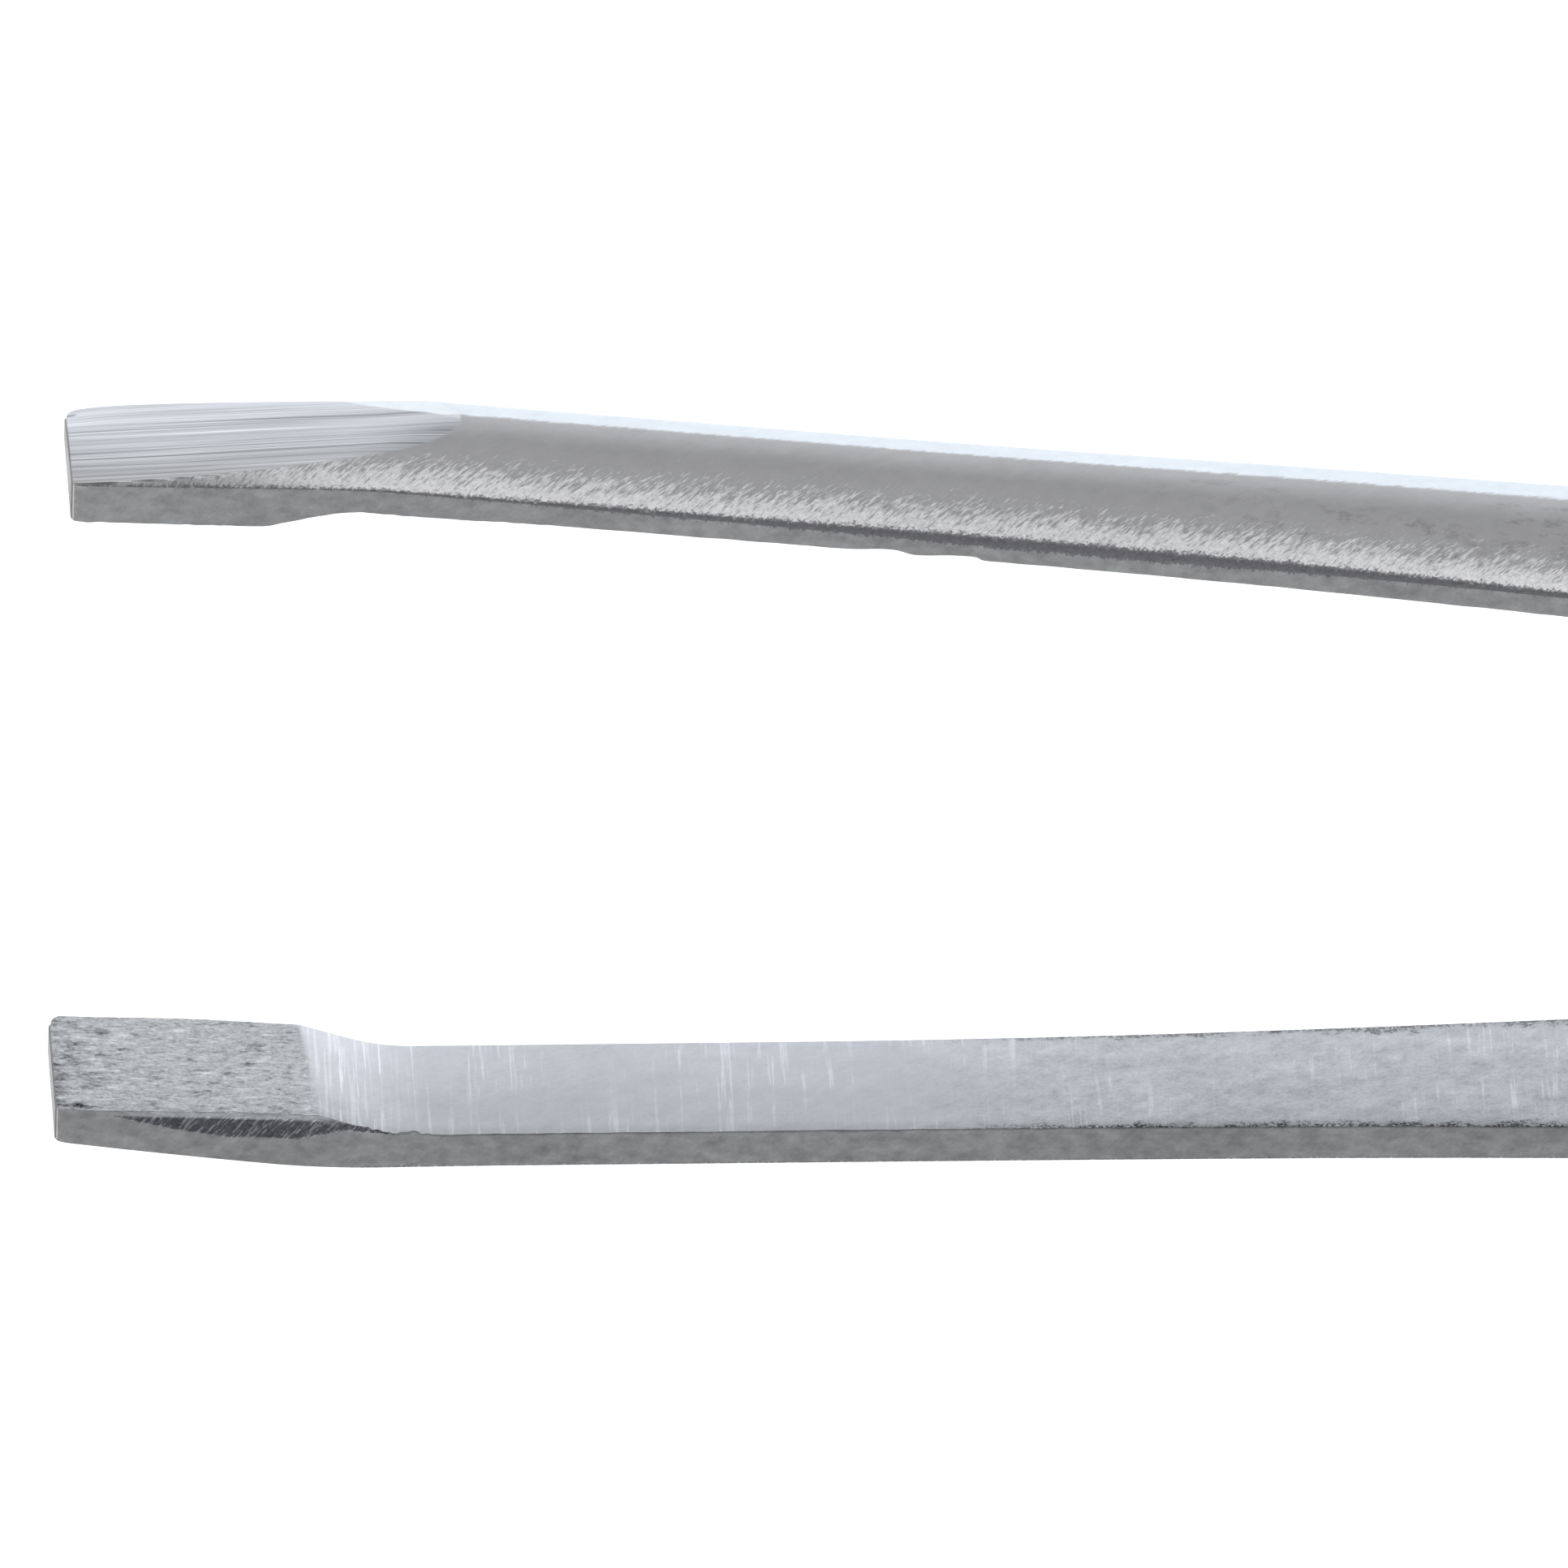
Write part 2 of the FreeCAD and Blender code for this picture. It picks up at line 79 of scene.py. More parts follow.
# Width of the painted shade, a dark band along the upper arm's near edge, by place along the arm
BAND_PLACES = (0.6, 2.0, 5.5, 9.0, 12.5, 16.5, 20.0, 24.0, 27.0)
BAND_WIDTHS = (0.0, 0.03, 0.03, 0.085, 0.14, 0.23, 0.24, 0.14, 0.08)
# Width of the painted highlight, a bright wedge beside the facet, in half widths from the far side, by place
# along the arm
WEDGE_PLACES = (4.7, 5.8, 6.4, 6.8, 7.05, 7.2)
WEDGE_WIDTHS = (-0.05, 0.25, 0.38, 0.5, 0.62, 0.8)


class Arm:
    """What one arm has of its own. swell, late_swell, far_swell and dip are small departures of its
    faces, pad_back and pad_skew the pad's end and slant, near_drop, near_fall and near_radius the outer
    face's near edge, far_edge its far one, facet_rise and facet_lean the facet's height and slope across,
    and the columns the counts of grid lines on each part of the section."""

    def __init__(self, **facts):
        self.__dict__.update(facts)


UPPER = Arm(
    name="upper_arm_steel",
    side=1.0,
    start=0.05,
    thickness=0.91,
    ceiling=8.192,
    swell=(0.03, 0.06),
    pad_back=3.65,
    pad_round=0.05,
    pad_skew=0.0,
    near_drop=0.407,
    near_fall=0.080,
    near_radius=(
        (0.0, 0.03),
        (5.0, 0.045),
        (9.0, 0.09),
        (12.5, 0.15),
        (16.5, 0.23),
        (20.0, 0.24),
        (25.0, 0.16),
        (29.0, 0.12),
    ),
    far_edge=(0.25, 0.45, 0.33, 0.16),
    edge_shade=1.0,
    facet_lean=(0.12, 0.009),
    facet_rise=(
        (0.0, -1.0),
        (1.3, -0.83),
        (2.6, -0.625),
        (3.9, -0.43),
        (5.35, -0.222),
        (6.45, -0.013),
        (7.1, 0.06),
    ),
    facet_dip=0.02,
    tip_fall=0.19,
    late_swell=1.3,
    far_swell=0.0,
    facet_blend=0.01,
    dip=0.055,
    inner_columns=26,
    near_columns=(14, 44),
    far_columns=(12, 14, 14),
    wall_columns=22,
    seed=11,
)
LOWER = Arm(
    name="lower_arm_steel",
    side=-1.0,
    start=0.03,
    thickness=1.0,
    ceiling=8.28,
    swell=(0.06, 0.08),
    pad_back=4.5,
    pad_round=0.014,
    pad_skew=0.176,
    near_drop=0.228,
    near_fall=0.0,
    near_radius=((0.0, 0.04), (12.0, 0.05), (29.0, 0.06)),
    far_edge=(0.25, 0.45, 0.33, 0.16),
    edge_shade=0.0,
    facet_lean=(0.06, 0.0),
    facet_rise=((0.0, -1.126), (1.5, -0.857), (3.0, -0.61), (4.5, -0.39), (6.0, -0.17), (7.1, -0.03)),
    facet_dip=0.0,
    tip_fall=0.0,
    late_swell=0.0,
    far_swell=0.06,
    facet_blend=0.13,
    dip=0.0,
    inner_columns=88,
    near_columns=(9, 17),
    far_columns=(7, 7, 7),
    wall_columns=30,
    seed=12,
)


def arm_line(x, blade, joint):
    """Height of a face along the arm. It is straight to the blade's end, then bends more steeply in a
    long bow, then eases in a reverse bow into the joint, where it is level. Both bows are parabolas that
    meet at the same slope. blade is its height at x = 0."""
    at_blade = blade - ARM_SLOPE * BLADE_END
    fall = at_blade - joint - ARM_SLOPE * BEND_SHARE
    at_bow = joint + fall * (JOINT_START - BOW_END) / (JOINT_START - BLADE_END)
    bow_length = BOW_END - BLADE_END
    bow_slope = 2.0 * (at_bow - at_blade) / bow_length + ARM_SLOPE
    t = x - BLADE_END
    bow = at_blade - ARM_SLOPE * t + (bow_slope + ARM_SLOPE) * t * t / (2.0 * bow_length)
    ease = JOINT_START - x
    neck = joint + (at_bow - joint) * (ease / (JOINT_START - BOW_END)) ** 2
    straight = blade - ARM_SLOPE * x
    parts = [x <= BLADE_END, x <= BOW_END, x <= JOINT_START]
    return np.select(parts, [straight, bow, neck], joint)


def half_width(x):
    """Half the width of the arm in plan. It narrows a little behind the tip, widens in a long parabola,
    eases in another into the parallel grip, narrows in a third, and ends in round corners at the butt."""
    tip = TIP_HALF - 0.06 * x / 7.6
    flare = 1.19 + 1.868 * ((x - 13.3) / 37.7) ** 2
    ease = 4.0 - 0.942 * ((70.0 - x) / 19.0) ** 2
    taper = 4.0 - 0.8 * ((x - 92.0) / 25.6) ** 2
    corner = 0.8 + np.sqrt(np.clip(BUTT_ROUND**2 - (x - BUTT_START) ** 2, 0.0, None))
    parts = [x <= 7.6, x <= 13.3, x <= 51.0, x <= 70.0, x <= 92.0, x <= BUTT_START]
    return np.select(parts, [tip, 1.19 + 0 * x, flare, ease, 4.0 + 0 * x, taper], corner)


def smooth_step(low, high, value):
    """0 below low, 1 above high, and an S curve between them. low may be the larger."""
    t = np.clip((value - low) / (high - low), 0.0, 1.0)
    return t * t * (3.0 - 2.0 * t)


def hump(value, start, top, fall, end):
    """0 outside start and end, 1 between top and fall, and S curves between: the product of two steps."""
    return smooth_step(start, top, value) * smooth_step(end, fall, value)


def bell(value, middle, width):
    """A bell curve: 1 at the middle, and 1 / e at one width from it."""
    return np.exp(-(((value - middle) / width) ** 2))


def smooth_min(a, b, blend):
    """The smaller of two heights, rounded over where they are within blend of each other."""
    overlap = np.clip(blend - np.abs(a - b), 0.0, None) / blend
    return np.minimum(a, b) - overlap**2 * blend / 4.0


def stations():
    """Places along the arm, from 0 to LENGTH: closest at the tip's end and pad, then wider, and close
    again round the butt. Those round both ends are at equal angles of a quarter circle."""
    tip = TIP_CORNER * (1.0 - np.cos(np.linspace(0.0, math.pi / 2.0, 10)))
    pad = np.linspace(TIP_CORNER, 9.0, 222)[1:]
    blade = np.linspace(9.0, 29.0, 201)[1:]
    flare = np.linspace(29.0, 40.0, 23)[1:]
    grip = np.linspace(40.0, BUTT_START, 90)[1:]
    butt = BUTT_START + BUTT_ROUND * np.sin(np.linspace(0.0, math.pi / 2.0, 20))[1:]
    return np.concatenate([tip, pad, blade, flare, grip, butt])


def edge_profile(half, radius, drop, arc_count, crown_count):
    """One half of the crowned outer face, from the side wall to its top, by the angle of its normal. A
    small arc of the given radius turns in from the wall, and a large arc carries on, tangent to it, to
    the top, where it is level: the top is drop above the wall. Returns distance in from the side, and
    height."""
    across = half - radius
    rise = drop - radius
    turn = 2.0 * (np.arctan2(across, rise) - math.pi / 4.0)
    large = radius + across / np.cos(turn)
    radius = radius[:, None]
    first = np.linspace(0.0, 1.0, arc_count, endpoint=False)[None, :] * turn[:, None]
    share = np.linspace(0.0, 1.0, crown_count)[None, :] ** 0.8
    second = turn[:, None] + share * (math.pi / 2.0 - turn[:, None])
    arc = [radius * (1.0 - np.cos(first)), radius * np.sin(first)]
    start = [radius[:, 0] * (1.0 - np.cos(turn)), radius[:, 0] * np.sin(turn)]
    crown = [
        start[0][:, None] + large[:, None] * (np.cos(turn)[:, None] - np.cos(second)),
        start[1][:, None] + large[:, None] * (np.sin(second) - np.sin(turn)[:, None]),
    ]
    inward = np.concatenate([arc[0], crown[0]], axis=1)
    height = np.concatenate([arc[1], crown[1]], axis=1)
    return inward, height


def far_profile(half, radius, flat_share, slope, ease, counts):
    """The other half of the outer face: a small arc from the wall, then a straight bevel that climbs by
    slope, then the crown, a parabola that starts at the slope ease and is level at the middle, flat_share
    of the half width wide. Returns distance in from the side, and height below the middle."""
    lean = math.atan(slope)
    turn = np.linspace(0.0, math.pi / 2.0 - lean, counts[0], endpoint=False)[None, :] + 0.0 * half[:, None]
    foot_in = radius * (1.0 - math.sin(lean))
    foot_up = radius * math.cos(lean)
    crown_wide = flat_share * half[:, None]
    bevel_wide = half[:, None] - crown_wide - foot_in
    along = np.linspace(0.0, 1.0, counts[1], endpoint=False)[None, :]
    over = np.linspace(0.0, 1.0, counts[2])[None, :]
    top = foot_up + slope * bevel_wide
    inward = [
        radius * (1.0 - np.cos(turn)),
        foot_in + along * bevel_wide,
        half[:, None] - crown_wide * (1.0 - over),
    ]
    height = [
        radius * np.sin(turn),
        foot_up + along * slope * bevel_wide,
        top + ease * crown_wide * (over - over**2 / 2.0),
    ]
    across, climb = (np.concatenate(part, axis=1) for part in (inward, height))
    return across, climb - climb[:, -1:]


def soft_noise(rng, shape, along, across):
    """Random heights of unit spread, smoothed by Hann windows of the given counts along and across."""
    field = rng.normal(size=shape)
    for axis, count in ((0, along), (1, across)):
        kernel = np.hanning(count + 2)[1:-1]
        kernel = kernel / np.sqrt((kernel**2).sum())
        field = np.apply_along_axis(np.convolve, axis, field, kernel, mode="same")
    return field


def arm_grid(arm):
    """The arm as a grid of points in millimetres, with the strength of each zone at each point. Rows are
    stations along it. Columns go round its section: across the inner face, up the near wall, over the outer
    face and down the far wall, which are parts 0 to 3.
    Inner face = smaller of the hollow ground line and the pad with its ramp. Outer face = smallest of the
    crown, the facet and the arm's ceiling. The facet is straight across, where it leans by facet_lean, and
    follows a cubic along. Each smaller one is taken with a rounded corner. x is slanted by skew at the tip.
    Wear is added last: grain on the pad, a wavy near edge, and nicks, burrs and a notch."""
    rng = np.random.default_rng(arm.seed)
    x = arm.start + stations() * (LENGTH - arm.start) / LENGTH
    rows = len(x)
    skew = np.interp(x, [0.0, arm.pad_back, SKEW_END], [TIP_SKEW, arm.pad_skew, 0.0])
    half = half_width(x)
    round_off = np.clip(TIP_CORNER - (x - arm.start), 0.0, TIP_CORNER)
    corner = TIP_CORNER - np.sqrt(TIP_CORNER**2 - round_off**2)
    far_half = half - corner + arm.far_swell * bell(x, 2.7, 1.5)
    near_half = half - 0.2 * corner
    swell = (bell(x, 17.0, 9.0) + arm.late_swell * hump(x, 15.0, 24.0, 32.0, 60.0))[:, None]
    dip = arm.dip * bell(x, 6.3, 1.7)[:, None]
    on_lower = 1.0 if arm is LOWER else 0.0
    bevel = on_lower * np.interp(x, BEVEL_PLACES, BEVEL_HEIGHTS)
    bevel_in = BEVEL_SLANT * bevel

    def slanted(z):
        return x[:, None] + skew[:, None] * (z + TIP_HALF)

    def inner_height(z):
        real_x = slanted(z)
        hollow = arm_line(real_x, PAD_PLANE + RELIEF, 0.0) + arm.swell[0] * swell - dip
        behind = PAD_RAMP * (x[:, None] - arm.pad_back) + 0.0 * z
        ramp = PAD_PLANE - smooth_min(-behind, 0.0 * z, arm.pad_round)
        return smooth_min(hollow, ramp, 0.2)

    def outer_top(z):
        line = arm_line(slanted(z), PAD_PLANE + RELIEF + arm.thickness, GRIP_THICKNESS)
        return line + arm.swell[1] * swell

    def facet_height(z):
        real_x = slanted(z)
        known = np.array(arm.facet_rise)
        curve = np.polyfit(known[:, 0], known[:, 1], 3)
        rise = np.polyval(curve, np.clip(real_x, 0.0, FACET_END)) + 0.25 * np.clip(real_x - 7.0, 0.0, None)
        dip_here = arm.facet_dip * bell(real_x, 5.5, 1.1)
        lean = arm.facet_lean[0] + arm.facet_lean[1] * real_x + dip_here
        tip_fall = arm.tip_fall * np.exp(-real_x / 0.6) * np.clip(-z / half[:, None], 0.0, 1.0) ** 1.5
        return outer_top(z) - arm.swell[1] * swell + rise + lean * z - tip_fall - 0.8 * dip_here

    across = np.linspace(0.0, 1.0, arm.inner_columns)[None, :]
    inner_z = -far_half[:, None] + across * (near_half + far_half - bevel_in)[:, None]
    inner_d = inner_height(inner_z)

    before = np.clip(5.8 - x, 0.0, None)
    near_radius = np.interp(x, *np.array(arm.near_radius).T)
    near_drop = arm.near_drop + 0.8 * near_radius + arm.near_fall * before**2 / (before + 0.5)
    near_in, near_up = edge_profile(near_half, near_radius, near_drop, *arm.near_columns)
    far_in, far_up = far_profile(far_half, *arm.far_edge, arm.far_columns)
    near_z = near_half[:, None] - near_in
    far_z = far_in - far_half[:, None]
    crown_z = np.concatenate([near_z, far_z[:, -2::-1]], axis=1)
    drops = np.concatenate([near_up - near_drop[:, None], far_up[:, -2::-1]], axis=1)
    steps = np.hypot(np.diff(near_in, axis=1), np.diff(near_up, axis=1))
    way_in = np.concatenate([np.zeros((rows, 1)), np.cumsum(steps, axis=1)], axis=1)
    near_way = way_in - 0.75 * near_radius[:, None]
    way = np.concatenate([near_way, 3.0 + far_z[:, -2::-1] * 0.0], axis=1)
    crown_d = outer_top(crown_z) + drops
    facet_d = facet_height(crown_z)
    outer_d = smooth_min(smooth_min(crown_d, facet_d, arm.facet_blend), arm.ceiling + 0.0 * crown_d, 0.02)
    cut = crown_d - facet_d

    wall = np.linspace(0.0, 1.0, arm.wall_columns)[None, :]
    wall = 0.012 + 0.976 * wall
    near_foot, near_head = inner_d[:, -1:], outer_d[:, :1]
    near_wall_d = near_foot + wall * (near_head - near_foot)
    depth = near_wall_d - near_foot
    ledge = LEDGE * smooth_step(5.2, 4.2, x)[:, None]
    into_bevel = (depth - ledge) / np.maximum(bevel, 1e-3)[:, None]
    left = np.clip(1.0 - into_bevel, 0.0, 1.0)
    near_wall_z = near_half[:, None] - bevel_in[:, None] * left
    far_wall = np.linspace(1.0, 0.0, 8)[None, 1:-1]
    far_wall_d = inner_d[:, :1] + far_wall * (outer_d[:, -1:] - inner_d[:, :1])
    far_wall_z = -far_half[:, None] + 0.0 * far_wall

    z = np.concatenate([inner_z, near_wall_z, crown_z, far_wall_z], axis=1)
    d = np.concatenate([inner_d, near_wall_d, outer_d, far_wall_d], axis=1)
    counts = [inner_z.shape[1], near_wall_z.shape[1], crown_z.shape[1], far_wall_z.shape[1]]
    part = np.repeat(np.arange(4), counts)[None, :] + np.zeros((rows, 1), int)

    def over_grid(rest, **known):
        """Values for the whole grid: known ones for the outer face or the near wall, and rest
        elsewhere."""
        full = np.full(z.shape, rest)
        for name, number in (("wall", 1), ("outer", 2)):
            if name in known:
                full[part == number] = known[name].ravel()
        return full

    full_way = over_grid(-1.0, outer=way, wall=near_wall_d - near_head - 0.75 * near_radius[:, None])
    full_cut = over_grid(-1.0, outer=cut)
    full_depth = over_grid(1.0, wall=depth)
    full_bevel = over_grid(2.0, wall=into_bevel)

    fine = soft_noise(rng, z.shape, 5, 3)
    coarse = soft_noise(rng, z.shape, 9, 5)
    inner = part == 0
    on_pad = inner * smooth_step(arm.pad_back + 0.05, arm.pad_back - 0.1, x)[:, None]
    d = d + on_pad * (0.0022 * fine + 0.002 * coarse)
    edge_wave = soft_noise(rng, (rows, 1), 7, 1) * 0.004
    near_side = smooth_step(near_half[:, None] - 0.12, near_half[:, None], z)
    level = z / half[:, None]
    if arm is UPPER:
        notch = smooth_step(0.26, 0.16, x)[:, None] * bell(level, -0.84, 0.03) * (part == 2)
        d = d - 0.02 * notch
    else:
        notch = 1.4 * on_pad * bell(x, 0.4, 0.13)[:, None] * bell(level, 0.9, 0.07)
    d = d + edge_wave * near_side * (part <= 1) * smooth_step(31.0, 27.0, x)[:, None]
    if arm is UPPER:
        nick = 0.075 * (hump(x, 13.9, 14.7, 14.8, 15.15) + hump(x, 15.15, 16.0, 16.2, 16.38))[:, None]
        up_wall = (1.0 - full_depth / 0.35).clip(0.0, 1.0)
        d = d + nick * near_side * (part == 0) + nick * (part == 1) * up_wall
    else:
        burr = hump(x, 5.0, 5.3, 6.5, 6.9) * np.abs(soft_noise(rng, (rows, 1), 4, 1)[:, 0])
        d = d - (0.034 * burr)[:, None] * near_side * (part <= 1)

    outer = part == 2
    on_wall = on_lower * (part == 1)
    band = np.interp(x, BAND_PLACES, BAND_WIDTHS)
    # The wedge: where the painted highlight beside the facet goes
    wedge_width = np.interp(x, WEDGE_PLACES, WEDGE_WIDTHS)[:, None]
    wedge = smooth_step(0.03, -0.03, level + 1.0 - wedge_width) * (1.0 - on_lower)
    ground = outer * smooth_step(-0.004, 0.012, full_cut)
    blade_back = smooth_step(46.0, 31.0, x)[:, None]
    # Painted light and shade on the near wall: lighter on the upper arm, darker on the lower
    side_lift = -0.03 - 0.04 * smooth_step(3.0, 8.0, x) if arm is LOWER else 0.11 + 0.0 * x
    zones = {
        "across": 0.5 + 0.5 * level,
        "pad": on_pad,
        "ramp": inner * hump(x - arm.pad_back, -0.06, 0.03, 0.5, 2.5)[:, None],
        "inner": 1.0 * inner,
        "side": 1.0 * ((part == 1) | (part == 3)),
        "facet": ground * (1.0 - wedge),
        "edge_way": full_way,
        # edge_band: width of the painted shade in the corner between the crown and the near wall
        "edge_band": band[:, None] * arm.edge_shade * (part >= 1) * (z > 0),
        "lip": on_wall * smooth_step(0.06, 0.0, full_depth) * smooth_step(5.0, 6.5, x)[:, None],
        "ledge": on_wall * smooth_step(0.16, 0.11, full_depth) * hump(x, 0.5, 2.0, 4.2, 5.0)[:, None],
        # lift: painted light and shade on the near wall, by arm
        "lift": side_lift[:, None] * (part == 1),
        "soil": on_pad * np.exp(-x / 0.7)[:, None],
        "notch": notch,
        "worn": inner * hump(x, 14.5, 19.0, 30.0, 44.0)[:, None],
        # far: where the painted highlight along the crown's far edge goes
        "far": outer * smooth_step(-0.34, -0.40, level) * blade_back,
        # flash: the painted highlight on the wedge beside the facet
        "flash": ground * wedge,
        "fade": outer * smooth_step(5.0, FACET_END, x)[:, None] * smooth_step(-0.75, -0.1, level),
        "patchy": outer * hump(x, 17.0, 23.0, 31.0, 46.0)[:, None] * smooth_step(-0.38, -0.2, level),
        # glow: where the crown is painted lighter towards its far side, a painted reflection
        "glow": outer * smooth_step(0.10, -0.46, level) * blade_back,
        # bevel: painted shade on the lower arm's bevel, which keeps its real slanting scratches
        "bevel": on_wall * hump(full_bevel, -0.10, 0.02, 0.94, 1.04),
        # end: painted shade on the flat ends
        "end": 0.0 * z,
    }
    real_x = np.minimum(slanted(z), LENGTH)
    points = np.stack([real_x - LENGTH / 2.0, arm.side * d, z + MIDDLE_Z], axis=2)
    return points, zones


def capped(points, zones, at_start):
    """Rings that close an end of the grid, its pole, and their zones, which are 0 apart from "end". A
    ring is the last section, scaled about its middle by each of five steps. At the tip the rings stand
    out a little, which rounds the end's edges."""
    ring = points[0] if at_start else points[-1]
    middle = ring.mean(axis=0)
    steps = np.array([0.975, 0.945, 0.8, 0.5, 0.25])[:, None, None]
    rings = middle + (ring - middle)[None, :, :] * steps
    bulge = np.array([0.028, 0.043, 0.045, 0.045, 0.045]) if at_start else np.zeros(5)
    rings[:, :, 0] -= bulge[:, None]
    middle = middle - np.array([bulge[-1], 0.0, 0.0])
    flat = {name: np.zeros(rings.shape[:2]) for name in zones}
    flat["end"] = np.ones(rings.shape[:2])
    return rings, middle, flat


def build_arm(arm, collection):
    """Makes the arm's mesh: the capped grid, quads between neighbouring rings, and a fan round each pole.
    The signed volume, a sum of triple products, tells whether the faces look out. If not, they are turned.
    Each zone becomes an attribute of the points."""
    points, zones = arm_grid(arm)
    head, head_pole, head_zones = capped(points, zones, True)
    tail, tail_pole, tail_zones = capped(points, zones, False)
    grid = np.concatenate([head[::-1], points, tail], axis=0)
    rows, columns = grid.shape[:2]
    index = np.arange(rows * columns).reshape(rows, columns)
    beside = np.roll(index, -1, axis=1)
    quads = np.stack([index[:-1], beside[:-1], beside[1:], index[1:]], axis=2).reshape(-1, 4)
    poles = [rows * columns, rows * columns + 1]
    first = np.stack([np.full(columns, poles[0]), beside[0], index[0]], axis=1)
    last = np.stack([np.full(columns, poles[1]), index[-1], beside[-1]], axis=1)
    corners = np.concatenate([grid.reshape(-1, 3), head_pole[None], tail_pole[None]], axis=0) / MM_PER_M
    a, b, c = (corners[quads[:, i]] for i in (0, 1, 2))
    volume = np.einsum("ij,ij->i", np.cross(a, b), c).sum()
    faces = [quads, first, last]
    if volume < 0:
        faces = [f[:, ::-1] for f in faces]
    mesh = bpy.data.meshes.new(arm.name)
    mesh.from_pydata(corners.tolist(), [], faces[0].tolist() + faces[1].tolist() + faces[2].tolist())
    mesh.validate()
    for name in zones:
        values = np.concatenate([head_zones[name][::-1], zones[name], tail_zones[name]], axis=0).ravel()
        poled = np.concatenate([values, [float(name == "end")] * 2])
        layer = mesh.attributes.new(name, "FLOAT", "POINT")
        layer.data.foreach_set("value", poled.astype(np.float32))
    mesh.shade_smooth()
    mesh.set_sharp_from_angle(angle=math.radians(32.0))
    piece = bpy.data.objects.new(arm.name, mesh)
    collection.objects.link(piece)
    return piece


# Depth of the grinding grooves, in metres
GROOVE_DEPTH = 0.00002


class Graph:
    """Short calls that add shader nodes to a tree and join them."""

    def __init__(self, tree):
        self.tree = tree
        tree.nodes.clear()

    def node(self, kind, **settings):
        made = self.tree.nodes.new(kind)
        for name, value in settings.items():
            setattr(made, name, value)
        return made

    def put(self, socket, value):
        if isinstance(value, bpy.types.NodeSocket):
            self.tree.links.new(value, socket)
        else:
            socket.default_value = value

    def math(self, operation, *values):
        made = self.node("ShaderNodeMath", operation=operation)
        for socket, value in zip(made.inputs, values):
            self.put(socket, value)
        return made.outputs[0]

    def plus(self, first, second):
        return self.math("ADD", first, second)

    def less(self, first, second):
        return self.math("SUBTRACT", first, second)

    def times(self, first, second):
        return self.math("MULTIPLY", first, second)

    def centred(self, pattern):
        """A noise less its mean, a half, so that it marks lighter and darker alike."""
        return self.less(pattern, 0.5)

    def spread(self, value, low, high, to_low=0.0, to_high=1.0):
        """An S curve from to_low, where value is low, to to_high, where it is high."""
        made = self.node("ShaderNodeMapRange", interpolation_type="SMOOTHSTEP")
        for name, number in (("From Min", low), ("From Max", high), ("To Min", to_low), ("To Max", to_high)):
            made.inputs[name].default_value = number
        self.put(made.inputs["Value"], value)
        return made.outputs["Result"]

    def mix(self, share, first, second):
        made = self.node("ShaderNodeMix", data_type="RGBA")
        self.put(made.inputs["Factor"], share)
        self.put(made.inputs[6], first)
        self.put(made.inputs[7], second)
        return made.outputs[2]

    def noise(self, scale, turn=(0.0, 0.0, 0.0), detail=2.0, rough=0.5, seed=0.0):
        """Noise on Object coordinates, with one frequency for each axis, in waves a millimetre."""
        place = self.node("ShaderNodeTexCoord").outputs["Object"]
        turned = self.node("ShaderNodeMapping", vector_type="POINT")
        turned.inputs["Rotation"].default_value = turn
        self.put(turned.inputs["Vector"], place)
        sized = self.node("ShaderNodeMapping", vector_type="POINT")
        sized.inputs["Scale"].default_value = [MM_PER_M * s for s in scale]
        sized.inputs["Location"].default_value = (seed, seed * 1.7, seed * 0.6)
        self.put(sized.inputs["Vector"], turned.outputs[0])
        made = self.node("ShaderNodeTexNoise", noise_dimensions="3D")
        made.inputs["Scale"].default_value = 1.0
        made.inputs["Detail"].default_value = detail
        made.inputs["Roughness"].default_value = rough
        self.put(made.inputs["Vector"], sized.outputs[0])
        return made.outputs["Fac"]

    def zone(self, name):
        return self.node("ShaderNodeAttribute", attribute_name=name).outputs["Fac"]


